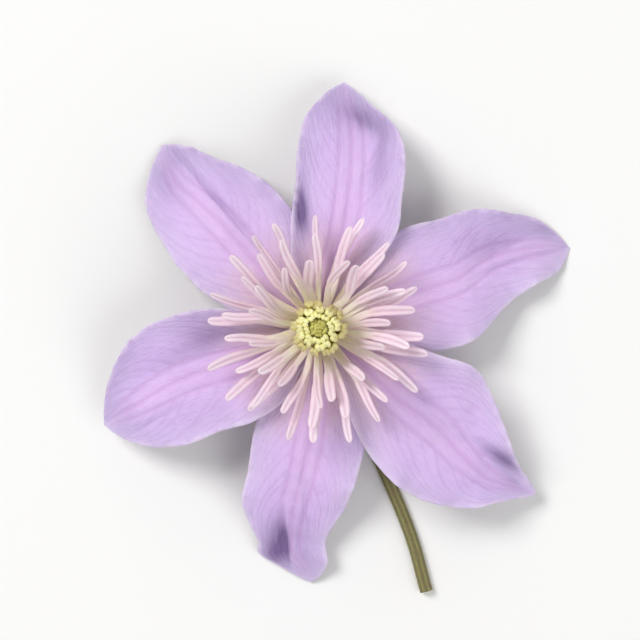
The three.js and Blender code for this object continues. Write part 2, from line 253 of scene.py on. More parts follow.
def swells(x, y, length, seed, count=14):
    """Gentle irregular waves of about a length over a plane, mostly between -1 and 1."""
    random = np.random.default_rng(seed)
    total = np.zeros_like(x)
    for _ in range(count):
        heading = random.uniform(0, 2 * np.pi)
        scale = 2 * np.pi / (length * random.uniform(0.7, 1.6))
        start = random.uniform(0, 2 * np.pi)
        total += np.cos(scale * (x * np.cos(heading) + y * np.sin(heading)) + start)
    return total / math.sqrt(2 * count)


def cubic(u, start, end, climb, drop):
    """A curve from start to end as u goes from 0 to 1, with slopes of climb and drop there."""
    return (
        (2 * u**3 - 3 * u**2 + 1) * start
        + (u**3 - 2 * u**2 + u) * climb
        + (-2 * u**3 + 3 * u**2) * end
        + (u**3 - u**2) * drop
    )


def curve_through(shares, values, s):
    """A smooth curve through values at shares, read at s."""
    x = np.asarray(shares, float)
    y = np.asarray(values, float)
    slope = np.empty_like(y)
    slope[1:-1] = (y[2:] - y[:-2]) / (x[2:] - x[:-2])
    slope[0] = (y[1] - y[0]) / (x[1] - x[0])
    slope[-1] = (y[-1] - y[-2]) / (x[-1] - x[-2])
    i = np.clip(np.searchsorted(x, s) - 1, 0, len(x) - 2)
    width = x[i + 1] - x[i]
    return cubic((s - x[i]) / width, y[i], y[i + 1], width * slope[i], width * slope[i + 1])


def grid_faces(rows, columns, start=0, flip=False, closed=False):
    """Quads between the points of a grid. closed joins the last column to the first."""
    wide = columns if closed else columns - 1
    i, j = np.meshgrid(np.arange(rows - 1), np.arange(wide), indexing="ij")
    k = (j + 1) % columns
    a = start + i * columns + j
    b = start + i * columns + k
    quads = np.stack([a, a + columns, b + columns, b], -1).reshape(-1, 4)
    return quads[:, ::-1] if flip else quads


def make_piece(name, points, faces, material, uv, values):
    """A smooth mesh piece from points in millimetres from the heart, with the blade coordinates and
    values that its material reads at each point."""
    mesh = bpy.data.meshes.new(name)
    mesh.from_pydata(((points + HEART) * MM).tolist(), [], [list(f) for f in faces])
    mesh.update()
    mesh.shade_smooth()
    corner_points = np.empty(len(mesh.loops), int)
    mesh.loops.foreach_get("vertex_index", corner_points)
    layer = mesh.uv_layers.new(name="blade")
    layer.data.foreach_set("uv", uv[corner_points].astype(np.float32).ravel())
    for key, value in values.items():
        attribute = mesh.attributes.new(key, "FLOAT", "POINT")
        attribute.data.foreach_set("value", np.asarray(value, np.float32).ravel())
    mesh.materials.append(material)
    piece = bpy.data.objects.new(name, mesh)
    bpy.context.scene.collection.objects.link(piece)
    return piece


def finish_piece(piece, slot, *nodes):
    """Puts a piece on the flower's one body, in place of its solids. The slot is not used."""
    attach(piece, "root")
    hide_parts(*nodes)


# ---- Material helpers ----


def srgb(red, green, blue):
    """A linear colour from the 0 to 255 values that a picture would show."""

    def channel(value):
        v = value / 255
        return v / 12.92 if v <= 0.04045 else ((v + 0.055) / 1.055) ** 2.4

    return (channel(red), channel(green), channel(blue), 1.0)


class Nodes:
    """Short names for building a material's node tree."""

    def __init__(self, name):
        self.material = bpy.data.materials.new(name)
        self.material.use_nodes = True
        self.tree = self.material.node_tree
        self.shader = self.tree.nodes["Principled BSDF"]

    def add(self, kind, **settings):
        node = self.tree.nodes.new(kind)
        for key, value in settings.items():
            setattr(node, key, value)
        return node

    def feed(self, socket, value):
        """Sets a socket to a number or colour, or links another node's output to it."""
        if isinstance(value, bpy.types.NodeSocket):
            self.tree.links.new(value, socket)
        else:
            socket.default_value = value

    def value(self, name):
        """One of the values at a piece's points."""
        return self.add("ShaderNodeAttribute", attribute_name=name).outputs["Fac"]

    def math(self, operation, a, b, c=0.0):
        node = self.add("ShaderNodeMath", operation=operation)
        for socket, value in zip(node.inputs, (a, b, c)):
            self.feed(socket, value)
        return node.outputs[0]

    def times(self, a, b):
        return self.math("MULTIPLY", a, b)

    def over(self, value, low, high):
        """The share from 0 to 1 that a value has come from low to high."""
        node = self.add("ShaderNodeMapRange", interpolation_type="SMOOTHSTEP")
        for socket, source in zip(node.inputs, (value, low, high)):
            self.feed(socket, source)
        return node.outputs[0]

    def mix(self, share, a, b):
        """Colour a with a share of colour b. A Mix node's inputs 6 and 7 are its two colours."""
        node = self.add("ShaderNodeMix", data_type="RGBA")
        for socket, value in zip((node.inputs[0], node.inputs[6], node.inputs[7]), (share, a, b)):
            self.feed(socket, value)
        return node.outputs[2]

    def ramp(self, share, *stops):
        """A colour ramp with stops of (place, colour)."""
        node = self.add("ShaderNodeValToRGB")
        elements = node.color_ramp.elements
        while len(elements) < len(stops):
            elements.new(0.5)
        for element, (place, colour) in zip(elements, stops):
            element.position = place
            element.color = colour
        self.feed(node.inputs[0], share)
        return node.outputs[0]

    def noise(self, scale, detail, roughness, vector=None):
        node = self.add("ShaderNodeTexNoise")
        node.inputs["Scale"].default_value = scale
        node.inputs["Detail"].default_value = detail
        node.inputs["Roughness"].default_value = roughness
        self.feed(node.inputs["Vector"], vector or self.place())
        return node.outputs["Fac"]

    def place(self):
        """The position on the piece, in metres."""
        return self.add("ShaderNodeTexCoord").outputs["Object"]

    def blade(self, along, across):
        """The piece's blade coordinates, along and across, stretched."""
        node = self.add("ShaderNodeMapping")
        self.feed(node.inputs["Vector"], self.add("ShaderNodeUVMap", uv_map="blade").outputs[0])
        node.inputs["Scale"].default_value = (along, across, 1)
        return node.outputs[0]

    def bump(self, height, distance, strength, normal=None):
        """A bump of a height map that is a distance deep, in millimetres."""
        node = self.add("ShaderNodeBump")
        node.inputs["Strength"].default_value = strength
        node.inputs["Distance"].default_value = distance * MM
        self.feed(node.inputs["Height"], height)
        if normal is not None:
            self.feed(node.inputs["Normal"], normal)
        return node.outputs[0]

    def set(self, **sockets):
        """Sets the shader's sockets, named with underscores for spaces."""
        for key, value in sockets.items():
            self.feed(self.shader.inputs[key.replace("_", " ")], value)


# ---- Sepals ----

SEPAL_ROWS = 260
SEPAL_COLUMNS = 150
BLADE_THICKNESS = 0.36
BLADE_LIFT = 0.1  # of a blade's back over the underside of its solid
RIM_THICKNESS = 0.07
RIM_WIDTH = 0.5  # over which a blade thins out to its margin
PALE_RIM_WIDTH = 1.1
PALE_RIM_FADE = 0.65  # share of a mark's darkness that is lost at the margin
EDGE_WIDTH = 5.5  # of the shaded band along a margin
TIP_START = 0.975  # where the end of a sepal starts to round off
TIP_ROUNDING = 0.9
BASE_REACH = 0.25  # how far a base fills the solids' gap to the seat
FLOOR_CLEARANCE = 0.03
BLADE_UNIT = 50  # of the blade coordinates
SEED_STEP = 20  # between one sepal's draws and the next one's

MAIN_VEINS = (-0.24, 0.0, 0.24)  # of the half width
OUTER_VEIN = MAIN_VEINS[2]
VEIN_WIDTH = 0.42
VEIN_DEPTH = 0.15
VEIN_RIB = 0.30  # how far a main vein stands out on the back
SIDE_VEINS = 14  # that leave a main vein on each side
SIDE_VEIN_WIDTH = 0.3
SIDE_VEIN_DEPTH = 0.08
SIDE_VEIN_RIB = 0.10
SIDE_VEIN_SWEEP = 0.22  # share of the blade's length that it comes forward on its way out
SIDE_VEIN_CURVE = 0.24  # share added where it bends to run along the margin
SIDE_VEIN_SLANT = 0.7  # a step square to it, as a share of one along the blade
SIDE_VEIN_COLOUR = 0.75  # of a main vein's
PLEAT_HEIGHT = 0.08  # of the face between the main veins
SWELLS = ((0.22, 9), (0.08, 3.5))  # height and length of each kind
# The margins' ruffles: height, how close they keep to the margin, number along it, and how many
# times a sepal's phase turns them.
RUFFLES = ((0.30, 5, 6.3, 2.1), (0.12, 9, 15.7, 4.3))


def blade_outline(sepal, s):
    """The flat blade at a share s of the way from the seat to the tip: its distance from the axis,
    how far its middle is from the straight line to the tip, and its half width."""
    base = SEAT_RADIUS + GAP
    clockwise = curve_through(MARGIN_SHARES, sepal["clockwise"], s)
    anticlockwise = curve_through(MARGIN_SHARES, sepal["anticlockwise"], s)
    place, length, height = sepal.get("lobe", (0, 1, 0))
    clockwise = clockwise + height * bell(s - place, length)
    tip = smooth((s - TIP_START) / (1 - TIP_START))
    half = (anticlockwise + clockwise) / 2 * np.sqrt(1 - TIP_ROUNDING * tip)
    return base + (sepal["reach"] - base) * s, (anticlockwise - clockwise) / 2, half


def sepal_surface(sepal, s, t, extra):
    """The middle of a sepal's solid, raised by extra. t runs from the clockwise margin, -1, to 1."""
    base = SEAT_RADIUS + GAP
    run = sepal["reach"] - base
    along, middle, half = blade_outline(sepal, s)

    start = UPPER_HEIGHT if sepal["upper"] else LOWER_HEIGHT
    end = sepal["rest"] - HEART_HEIGHT
    climb = run * math.tan(math.radians(SEPAL_LIFT))
    drop = run * math.tan(math.radians(sepal["fall"]))
    midline = cubic(s, start, end, climb, drop)

    cup = sepal["cup"] * t**2 * smooth((s - 0.12) / 0.4) * smooth((1 - s) / 0.2)
    wavy_part = smooth((s - 0.3) / 0.3) * smooth((1 - s) / 0.15)
    phase = sepal["phase"] + np.where(t > 0, WAVE_OFFSET, 0.0)
    wave = WAVE_HEIGHT * np.abs(t) ** 3 * np.sin(2 * np.pi * WAVES * s + phase)
    up = cup + wavy_part * wave + extra

    turn = math.radians(sepal["twist"]) * smooth((s - 0.25) / 0.75)
    across = half * t
    sideways = middle + across * np.cos(turn) - up * np.sin(turn)
    height = midline + across * np.sin(turn) + up * np.cos(turn)

    # The base wraps round the seat.
    wrapped = base - np.sqrt(np.maximum(0, base**2 - np.minimum(np.abs(sideways), base) ** 2))
    along = along - wrapped * (1 - smooth(s / 0.1)) - BASE_REACH * (1 - smooth(s / 0.06))
    a = math.radians(sepal["angle"])
    x = along * math.cos(a) - sideways * math.sin(a)
    y = along * math.sin(a) + sideways * math.cos(a)
    return np.stack([x, y, height], -1)


def grid_normals(points):
    rows = np.gradient(points, axis=0)
    columns = np.gradient(points, axis=1)
    normals = np.cross(rows, columns)
    return normals / np.linalg.norm(normals, axis=-1, keepdims=True)


def side_veins(s, t, run, seed):
    """How near each point is to a side vein, from 0 to 1. They leave the outer main veins and sweep
    forward until they run along the margins."""
    outside = np.clip((np.abs(t) - OUTER_VEIN) / (1 - OUTER_VEIN), 0, 1)
    near = np.zeros_like(s)
    for side in (-1, 1):
        on_side = (np.sign(t) == side) & (outside > 0)
        for k in range(-6, SIDE_VEINS):  # those under 0 come in from the base
            start = (k + 0.6 * jitter(k, seed + side)) / SIDE_VEINS
            sweep = SIDE_VEIN_SWEEP + 0.06 * jitter(k, seed + 3 + side)
            line = start + sweep * outside + SIDE_VEIN_CURVE * outside**3
            strength = 0.7 + 0.6 * jitter(k, seed + 7 + side)
            distance = SIDE_VEIN_SLANT * run * (s - line)
            line_near = strength * bell(distance, SIDE_VEIN_WIDTH)
            near = np.where(on_side, np.maximum(near, line_near), near)
    return near * smooth(outside / 0.08) * smooth((1 - outside) / 0.15)


def mark_fields(sepal, x, y):
    """What a sepal's creases and patches add at each point: height, painted shade and pinker painted
    highlight.
    """
    height, shade, tint_and_highlight = np.zeros_like(x), np.zeros_like(x), np.zeros_like(x)
    for along, beside, heading, length, left, right, lift, darkness in sepal["marks"]:
        a = math.radians(heading)
        u = (x - along) * math.cos(a) + (y - beside) * math.sin(a)
        v = (y - beside) * math.cos(a) - (x - along) * math.sin(a)
        near = bell(u, length / 2) * bell(v, np.where(v > 0, left, right))
        height += lift * near
        shade += max(darkness, 0) * near
        tint_and_highlight += max(-darkness, 0) * near
    return height, np.clip(shade, 0, 1), np.clip(tint_and_highlight, 0, 1)


def blade_waves(sepal, s, t, along, beside, seed):
    """Broad swells over a blade outside the stamens, and ruffles at its margins."""
    swell = sum(
        height * swells(along, beside, length, seed + k) for k, (height, length) in enumerate(SWELLS)
    )
    side = np.where(t > 0, 2.4, 0.3)
    ruffle = np.zeros_like(s)
    for k, (height, power, number, turns) in enumerate(RUFFLES, 1):
        phase = turns * sepal["phase"] + k * side
        ruffle += height * np.abs(t) ** power * np.sin(2 * np.pi * number * s + phase)
    inside_tip = smooth((1 - s) / 0.12)
    return smooth((s - 0.25) / 0.3) * (swell + inside_tip * ruffle)


def shell_faces(rows, wide):
    """Faces of a closed blade: a grid of points over another one, joined round their edges."""
    count = rows * wide
    left = np.arange(rows - 1) * wide
    right = left + wide - 1
    first = np.arange(wide - 1)
    last = first + (rows - 1) * wide
    return np.concatenate([
        grid_faces(rows, wide),
        grid_faces(rows, wide, start=count, flip=True),
        np.stack([left, left + count, left + count + wide, left + wide], -1),
        np.stack([right, right + wide, right + count + wide, right + count], -1),
        np.stack([first, first + 1, first + 1 + count, first + count], -1),
        np.stack([last, last + count, last + count + 1, last + 1], -1),
    ])


def make_sepal(name, sepal, material, seed):
    u = np.linspace(-1, 1, SEPAL_COLUMNS + 1)
    columns = u * (1.3 - 0.3 * u**2)  # closer together near the margins
    s, t = np.meshgrid(np.linspace(0, 1, SEPAL_ROWS + 1), columns, indexing="ij")
    run = sepal["reach"] - SEAT_RADIUS - GAP
    along, middle, half = blade_outline(sepal, s)
    beside = middle + half * t
    mark_height, shade, tint_and_highlight = mark_fields(sepal, along, beside)
    extra = mark_height + blade_waves(sepal, s, t, along, beside, seed)
    solid_middle = sepal_surface(sepal, s, t, extra)
    normals = grid_normals(solid_middle)

    # The veins are grooves on the face and ribs on the back, and the face swells between them.
    fade = smooth(s / 0.1) * smooth((1 - s) / 0.2)
    mains = sum(bell((t - place) * half, VEIN_WIDTH) for place in MAIN_VEINS) * fade
    sides = side_veins(s, t, run, seed) * fade
    pleats = (1 - np.cos(2 * np.pi * t / OUTER_VEIN)) / 2 * bell(t, 0.3) * fade
    face = PLEAT_HEIGHT * pleats - VEIN_DEPTH * mains - SIDE_VEIN_DEPTH * sides
    back = -VEIN_RIB * mains - SIDE_VEIN_RIB * sides

    to_margin = np.minimum(half * (1 - np.abs(t)), run * (1 - s))
    rim = 1 - np.clip(to_margin / RIM_WIDTH, 0, 1)
    thickness = RIM_THICKNESS + (BLADE_THICKNESS - RIM_THICKNESS) * np.sqrt(1 - rim**2)
    bottom = BLADE_LIFT - SOLID_THICKNESS / 2
    lowest = FLOOR_CLEARANCE - HEART_HEIGHT
    over = solid_middle + normals * (bottom + thickness + face)[..., None]
    over[..., 2] = np.maximum(over[..., 2], lowest + thickness)
    under = solid_middle + normals * (bottom + back * (1 - rim))[..., None]
    under[..., 2] = np.maximum(under[..., 2], lowest)

    # What the material reads. A mark's painted shade pales where it runs out at the margin.
    dark_cw, dark_ccw = sepal["edges"]
    pale_rim = np.clip(1 - to_margin / PALE_RIM_WIDTH, 0, 1)
    edge = smooth(1 - to_margin / EDGE_WIDTH)
    edge_shade = edge * np.where(t < 0, dark_cw, dark_ccw) * smooth((s - 0.2) / 0.2)
    fields = {
        "along": s,
        "across": np.abs(t),
        "vein": np.clip(mains + SIDE_VEIN_COLOUR * sides, 0, 1),
        "rim": pale_rim,
        "edge": edge,
        "edge_shade": edge_shade,
        "shade": shade * (1 - PALE_RIM_FADE * smooth(pale_rim)),
        "tint_and_highlight": tint_and_highlight,
    }
    values = {key: np.tile(field.ravel(), 2) for key, field in fields.items()}
    values["under"] = np.repeat([0.0, 1.0], s.size)
    uv = np.tile(np.stack([s * run, t * half], -1).reshape(-1, 2) / BLADE_UNIT, (2, 1))
    points = np.concatenate([over.reshape(-1, 3), under.reshape(-1, 3)])
    piece = make_piece(f"sepal_{name}", points, shell_faces(*s.shape), material, uv, values)
    finish_piece(piece, "sepals", f"sepal_{name}")


def sepal_material():
    n = Nodes("sepal")
    across = n.value("across")
    # The base turns beige-brown under the stamens: partly its own colour, partly painted shade between
    # the stamens.
    body = n.ramp(
        n.value("along"),
        (0.0, srgb(196, 168, 146)),
        (0.14, srgb(216, 191, 184)),
        (0.26, srgb(226, 198, 213)),
        (0.42, srgb(225, 195, 245)),
        (0.7, srgb(224, 195, 250)),
        (0.88, srgb(212, 191, 240)),
        (1.0, srgb(205, 188, 228)),
    )

    # A pinker bar along the middle, patches of pinker tint and painted highlight, paler margins, and
    # painted shade on margins turned from the light.
    colour = n.mix(n.times(n.over(across, 0.45, 0.0), 0.55), body, srgb(226, 188, 238))
    colour = n.mix(n.times(n.value("tint_and_highlight"), 0.8), colour, srgb(236, 202, 250))
    colour = n.mix(n.times(n.value("edge"), 0.65), colour, srgb(224, 211, 244))
    colour = n.mix(n.times(n.value("edge_shade"), 0.9), colour, srgb(190, 169, 217))

    # Mottle, pale streaks along the blade, veins, painted shade in creases and patches, and a broken
    # pale rim.
    mottle = n.over(n.noise(160, 4, 0.6), 0.35, 0.7)
    colour = n.mix(n.times(mottle, 0.22), colour, srgb(196, 166, 222))
    streaks = n.over(n.noise(8, 5, 0.65, n.blade(1.4, 17)), 0.4, 0.7)
    colour = n.mix(n.times(streaks, 0.4), colour, srgb(234, 208, 246))
    colour = n.mix(n.times(n.value("vein"), 0.4), colour, srgb(206, 163, 219))
    shade = n.times(n.value("shade"), n.math("MULTIPLY_ADD", streaks, -0.12, 1.0))
    colour = n.mix(shade, colour, srgb(122, 100, 150))
    pale_rim = n.times(n.over(n.noise(420, 3, 0.6), 0.3, 0.65), n.value("rim"))
    colour = n.mix(n.times(pale_rim, 0.6), colour, srgb(236, 224, 242))

    # The back is greener along the middle and the veins.
    back = n.mix(n.times(n.over(across, 0.5, 0.0), 0.6), srgb(214, 196, 226), srgb(204, 200, 184))
    back = n.mix(n.times(n.value("vein"), 0.7), back, srgb(170, 172, 128))
    back = n.mix(n.times(mottle, 0.3), back, srgb(196, 176, 212))
    colour = n.mix(n.value("under"), colour, back)

    # Relief: the fine net between the side veins, fibres along the blade and the skin's grain.
    cells = n.add("ShaderNodeTexVoronoi", feature="DISTANCE_TO_EDGE")
    cells.inputs["Scale"].default_value = 46
    n.feed(cells.inputs["Vector"], n.blade(1.0, 1.8))
    net = n.math("MINIMUM", cells.outputs["Distance"], 0.12)
    fibres = n.noise(20, 3, 0.6, n.blade(1.2, 12))
    grain = n.noise(2600, 2, 0.6)
    normal = n.bump(net, 0.28, 0.55)
    normal = n.bump(fibres, 0.22, 0.8, normal)
    normal = n.bump(grain, 0.02, 0.6, normal)
    n.set(
        Base_Color=colour,
        Roughness=n.math("MULTIPLY_ADD", grain, 0.2, 0.42),
        Normal=normal,
        Subsurface_Weight=0.2,
        Subsurface_Radius=(1.0, 0.75, 1.0),
        Subsurface_Scale=0.5 * MM,
        Specular_IOR_Level=0.3,
        Sheen_Weight=0.2,
        Sheen_Roughness=0.35,
    )
    return n.material


# ---- Straps: stamens and styles ----

END_STATIONS = 7  # over a strap's rounded end
END_TURN = 0.485 * np.pi  # just short of a quarter turn, which leaves a small cap
GROOVE_WIDTH = 0.3  # share of the half width
COLLAR_AROUND = 72  # points round a collar
HAIR_STATIONS = 4
HAIR_SIDES = 3
HAIR_TAPER = 0.85  # share of a hair's width that is lost at its tip
HAIR_SPREAD = 0.35  # how far hairs stray from their common direction
SILK_HAIRS = 45  # on each style
SILK_START = 0.55  # share of a style's length
SILK_SEED = 31


def strap_stations(steps, rounded):
    """Shares of a strap's length, close together over the rounded end, and how full it is there."""
    plain = np.linspace(0, 1 - rounded, steps)
    turn = np.linspace(0, END_TURN, END_STATIONS + 1)[1:]
    share = np.concatenate([plain, 1 - rounded + rounded * np.sin(turn)])
    return share, np.concatenate([np.ones(steps), np.cos(turn)])


def strap_route(whorl, index, seed, share):
    """Points of a strap from its root to its end, on its solid's route, and its width's direction.
    The ends vary all round, and the bends follow them in part."""
    turn = whorl["turn"] + index + 0.5 * jitter(index, seed)
    a = 2 * math.pi * turn / whorl["count"]
    out = whorl["vary"] * jitter(index, seed + 1)
    up = whorl["vary"] * jitter(index, seed + 2)
    lean = whorl["vary"] * jitter(index, seed + 3)
    outward = np.array([math.cos(a), math.sin(a), 0])
    across = np.array([-math.sin(a), math.cos(a), 0])

    def spot(radius, height, sideways=0.0):
        return radius * outward + sideways * across + [0, 0, height]

    root = spot(*whorl["root"])
    aim = spot(whorl["aim"][0], whorl["aim"][1] + 0.5 * up, -0.4 * lean)
    end = spot(whorl["end"][0] + out, whorl["end"][1] + up, lean)
    x = share[:, None]
    return (1 - x) ** 2 * root + 2 * x * (1 - x) * aim + x**2 * end, across


def loft(route, across, sections):
    """A closed tube along a route. sections holds each station's outline as (across, away) offsets."""
    tangent = np.gradient(route, axis=0)
    tangent /= np.linalg.norm(tangent, axis=-1, keepdims=True)
    away = np.cross(tangent, across)
    away /= np.linalg.norm(away, axis=-1, keepdims=True)
    level = np.cross(away, tangent)
    rings = route[:, None] + sections[..., :1] * level[:, None] + sections[..., 1:] * away[:, None]
    steps, around = sections.shape[:2]
    faces = [list(f) for f in grid_faces(steps, around, closed=True, flip=True)]
    faces.append(list(range(around)))
    faces.append([(steps - 1) * around + j for j in reversed(range(around))])
    return rings.reshape(-1, 3), faces


def strap_sections(width, thickness, groove, twist, around):
    """Outlines of a strap's stations: flattened, with a groove along both faces, and twisted."""
    a = 2 * np.pi * np.arange(around) / around
    furrow = 1 - groove[:, None] * bell(np.cos(a), GROOVE_WIDTH)[None]
    x = np.cos(a)[None] * width[:, None] / 2
    y = np.sin(a)[None] * thickness[:, None] / 2 * furrow
    turn = np.radians(twist)[:, None]
    return np.stack([x * np.cos(turn) - y * np.sin(turn), x * np.sin(turn) + y * np.cos(turn)], -1)


def strap_part(route, across, sections, share, tone):
    """A strap's points, faces, place along it, place across it and tone."""
    points, faces = loft(route, across, sections)
    steps, around = sections.shape[:2]
    side = np.tile(np.cos(2 * np.pi * np.arange(around) / around), steps)
    return points, faces, np.repeat(share, around), side, np.full(len(points), tone)


def ring_part(profile, around=COLLAR_AROUND):
    """A solid turned about the axis from a closed profile of (radius, height) points."""
    a = 2 * np.pi * np.arange(around) / around
    rings = [np.stack([r * np.cos(a), r * np.sin(a), np.full(around, z)], -1) for r, z in profile]
    points = np.concatenate(rings)
    faces = grid_faces(len(profile) + 1, around, closed=True, flip=True) % len(points)
    blank = np.zeros(len(points))
    return points, faces, blank, blank, blank + 0.5


def hair_part(roots, directions, lengths, width, curl, seed):
    """Fine three-sided hairs, each from its root along its direction, curling to its own side, with
    the finish of a strap's tip."""
    random = np.random.default_rng(seed)
    directions = directions / np.linalg.norm(directions, axis=-1, keepdims=True)
    first = np.cross(directions, random.normal(size=roots.shape))
    first /= np.linalg.norm(first, axis=-1, keepdims=True)
    second = np.cross(directions, first)
    share = np.linspace(0, 1, HAIR_STATIONS)[None, :, None]
    lengths = lengths[:, None, None]
    spine = roots[:, None] + directions[:, None] * lengths * share
    spine += first[:, None] * curl * lengths * share**2
    a = 2 * np.pi * np.arange(HAIR_SIDES) / HAIR_SIDES
    around = first[:, None] * np.cos(a)[None, :, None] + second[:, None] * np.sin(a)[None, :, None]
    thickness = (width / 2 * (1 - HAIR_TAPER * share))[..., None]
    points = (spine[:, :, None] + around[:, None] * thickness).reshape(-1, 3)

    faces = []
    size = HAIR_STATIONS * HAIR_SIDES
    for start in range(0, len(points), size):
        faces += [list(f) for f in grid_faces(HAIR_STATIONS, HAIR_SIDES, start, closed=True, flip=True)]
        last = start + size - 1
        faces += [[start, start + 1, start + 2], [last, last - 1, last - 2]]
    blank = np.zeros(len(points))
    return points, faces, blank + 1, blank + 0.5, blank


def make_tuft(name, parts, material):
    """One piece from many parts, which replaces the node of the same name."""
    points, faces, start = [], [], 0
    for part_points, part_faces, *_ in parts:
        points.append(part_points)
        faces += [[start + k for k in f] for f in part_faces]
        start += len(part_points)
    keys = ("share", "side", "tone")
    values = {key: np.concatenate([part[k + 2] for part in parts]) for k, key in enumerate(keys)}
    uv = np.stack([values["share"] + 3 * values["tone"], values["side"]], -1)
    values["side"] = np.abs(values["side"])
    piece = make_piece(name, np.concatenate(points), faces, material, uv, values)
    finish_piece(piece, name, name)


def straps(
    whorls, seed, steps, around, width, thickness, groove, rounded,
    turning, bow, curl, uneven, toned=(0, 0, 0),
):
    """Every strap of some whorls. width, thickness and groove are (shares, values) along a strap.
    turning, bow, curl and uneven are how much straps differ in twist, sideways bend, droop of the
    end and width, and toned is each whorl's added tone."""
    share, full = strap_stations(steps, rounded)
    parts = []
    for row, whorl in enumerate(whorls):
        key = seed + 10 * row
        for index in range(whorl["count"]):
            route, across = strap_route(whorl, index, key, share)
            bend = bow * math.sin(7 * jitter(index, key + 6))
            sway = bow * jitter(index, key + 9)
            shift = bend * np.sin(np.pi * share) ** 2 + sway * np.sin(2 * np.pi * share) * share
            route = route + across * shift[:, None]
            route[:, 2] += curl * jitter(index, key + 4) * share**3
            grown = 1 + uneven * jitter(index, key + 5)
            sections = strap_sections(
                full * grown * np.interp(share, *width),
                full * np.interp(share, *thickness),
                np.interp(share, *groove),
                turning * jitter(index, key + 7) * smooth((share - 0.2) / 0.8),
                around,
            )
            tone = 0.5 + jitter(index, key + 8) + toned[row]
            parts.append(strap_part(route, across, sections, share, tone))
    return parts


def make_outer_stamens():
    collar = ring_part([(2.95, 1.5), (4.0, 1.5), (4.0, 2.6), (2.95, 2.6)])
    parts = straps(
        OUTER_WHORLS, seed=1, steps=38, around=24,
        width=(
            [0, 0.2, 0.42, 0.50, 0.55, 0.75, 0.92, 1],
            [1.3, 1.25, 1.2, 1.15, 1.5, 1.7, 1.5, 1.1],
        ),
        thickness=([0, 0.3, 0.48, 0.56, 0.9, 1], [0.6, 0.38, 0.38, 0.66, 0.6, 0.45]),
        groove=([0, 0.46, 0.56, 0.9, 1], [0.1, 0.2, 0.85, 0.8, 0.3]),
        rounded=0.045, turning=100, bow=0.9, curl=2.2, uneven=0.4,
    )
    make_tuft("outer_stamens", [collar, *parts], outer_material())


def make_inner_stamens():
    collar = ring_part([(2.3, 2.9), (3.5, 2.9), (3.5, 3.9), (2.3, 3.9)])
    # toned darkens the outer whorl towards olive and lightens the inner ones: painted shade round the
    # outside of the cup.
    parts = straps(
        INNER_WHORLS, seed=5, steps=30, around=24,
        width=([0, 0.35, 0.56, 0.64, 0.9, 1], [1.1, 0.85, 0.9, 1.5, 1.65, 1.45]),
        thickness=([0, 0.35, 0.58, 0.66, 0.9, 1], [0.7, 0.5, 0.5, 1.05, 1.2, 1.1]),
        groove=([0, 0.5, 0.66, 0.92, 1], [0.1, 0.2, 0.6, 0.6, 0.45]),
        rounded=0.075, turning=50, bow=0.3, curl=0.5, uneven=0.25, toned=(1.5, -0.2, -0.5),
    )
    make_tuft("inner_stamens", [collar, *parts], inner_material())


def make_pistil():
    dome = ring_part(
        [(0.01, 4.9), (1.7, 4.9), (1.7, 5.3), (1.3, 5.7), (0.6, 5.9), (0.01, 5.95)], around=48
    )
    parts = straps(
        STYLE_WHORLS, seed=9, steps=22, around=16,
        width=([0, 0.5, 0.85, 1], [0.7, 0.62, 0.86, 0.8]),
        thickness=([0, 0.5, 0.85, 1], [0.65, 0.55, 0.76, 0.7]),
        groove=([0, 0.8, 1], [0, 0.1, 0.4]),
        rounded=0.04, turning=90, bow=0.3, curl=0.4, uneven=0.3,
    )
    make_tuft("pistil", [dome, *parts, style_silk(parts)], pistil_material())


def style_silk(styles):
    """The silky hairs on the styles' upper halves, which point up and a little outwards."""
    random = np.random.default_rng(SILK_SEED)
    upper = [points[share > SILK_START] for points, _, share, *_ in styles]
    roots = np.concatenate([points[random.integers(0, len(points), SILK_HAIRS)] for points in upper])
    directions = np.column_stack([0.5 * roots[:, :2], np.full(len(roots), 1.2)])
    directions += random.normal(size=roots.shape) * HAIR_SPREAD
    lengths = random.uniform(0.5, 1.1, len(roots))
    return hair_part(roots, directions, lengths, width=0.05, curl=0.3, seed=SILK_SEED + 1)


def strap_material(name, stops, edge, mottle_colour, tone_colour, grain=0.03):
    """The finish of stamens and styles: a ramp from root to tip, with an edge colour on the sides
    and in the groove, a mottle, and some straps toned apart. grain is the skin's depth."""
    n = Nodes(name)
    colour = n.ramp(n.value("share"), *stops)
    sides = n.over(n.value("side"), 0.7, 1.0)
    groove = n.times(n.over(n.value("side"), 0.4, 0.05), n.over(n.value("share"), 0.45, 0.6))
    mottle = n.over(n.noise(900, 3, 0.6), 0.4, 0.7)
    colour = n.mix(n.times(sides, 0.6), colour, edge)
    colour = n.mix(n.times(groove, 0.55), colour, edge)
    colour = n.mix(n.times(mottle, 0.45), colour, mottle_colour)
    colour = n.mix(n.times(n.value("tone"), 0.35), colour, tone_colour)
    fine = n.noise(3500, 2, 0.65)
    lines = n.noise(4, 3, 0.6, n.blade(2, 3))
    n.set(
        Base_Color=colour,
        Roughness=n.math("MULTIPLY_ADD", fine, 0.3, 0.38),
        Normal=n.bump(fine, grain, 0.7, n.bump(lines, 0.06, 0.8)),
        Subsurface_Weight=0.2,
        Subsurface_Radius=(1.0, 0.8, 0.8),
        Subsurface_Scale=0.4 * MM,
        Specular_IOR_Level=0.3,
    )
    return n.material


def outer_material():
    stops = (
        (0.0, srgb(242, 233, 184)),
        (0.25, srgb(255, 250, 218)),
        (0.42, srgb(255, 246, 232)),
        (0.62, srgb(250, 231, 240)),
        (0.85, srgb(250, 232, 247)),
        (1.0, srgb(253, 241, 250)),
    )
    # The edge colour on the straps' sides and grooves is partly the anthers' own darker mauve, partly
    # painted shade between the straps.
    return strap_material(
        "outer_stamen", stops,
        edge=srgb(210, 167, 190), mottle_colour=srgb(246, 222, 234), tone_colour=srgb(238, 207, 224),
    )


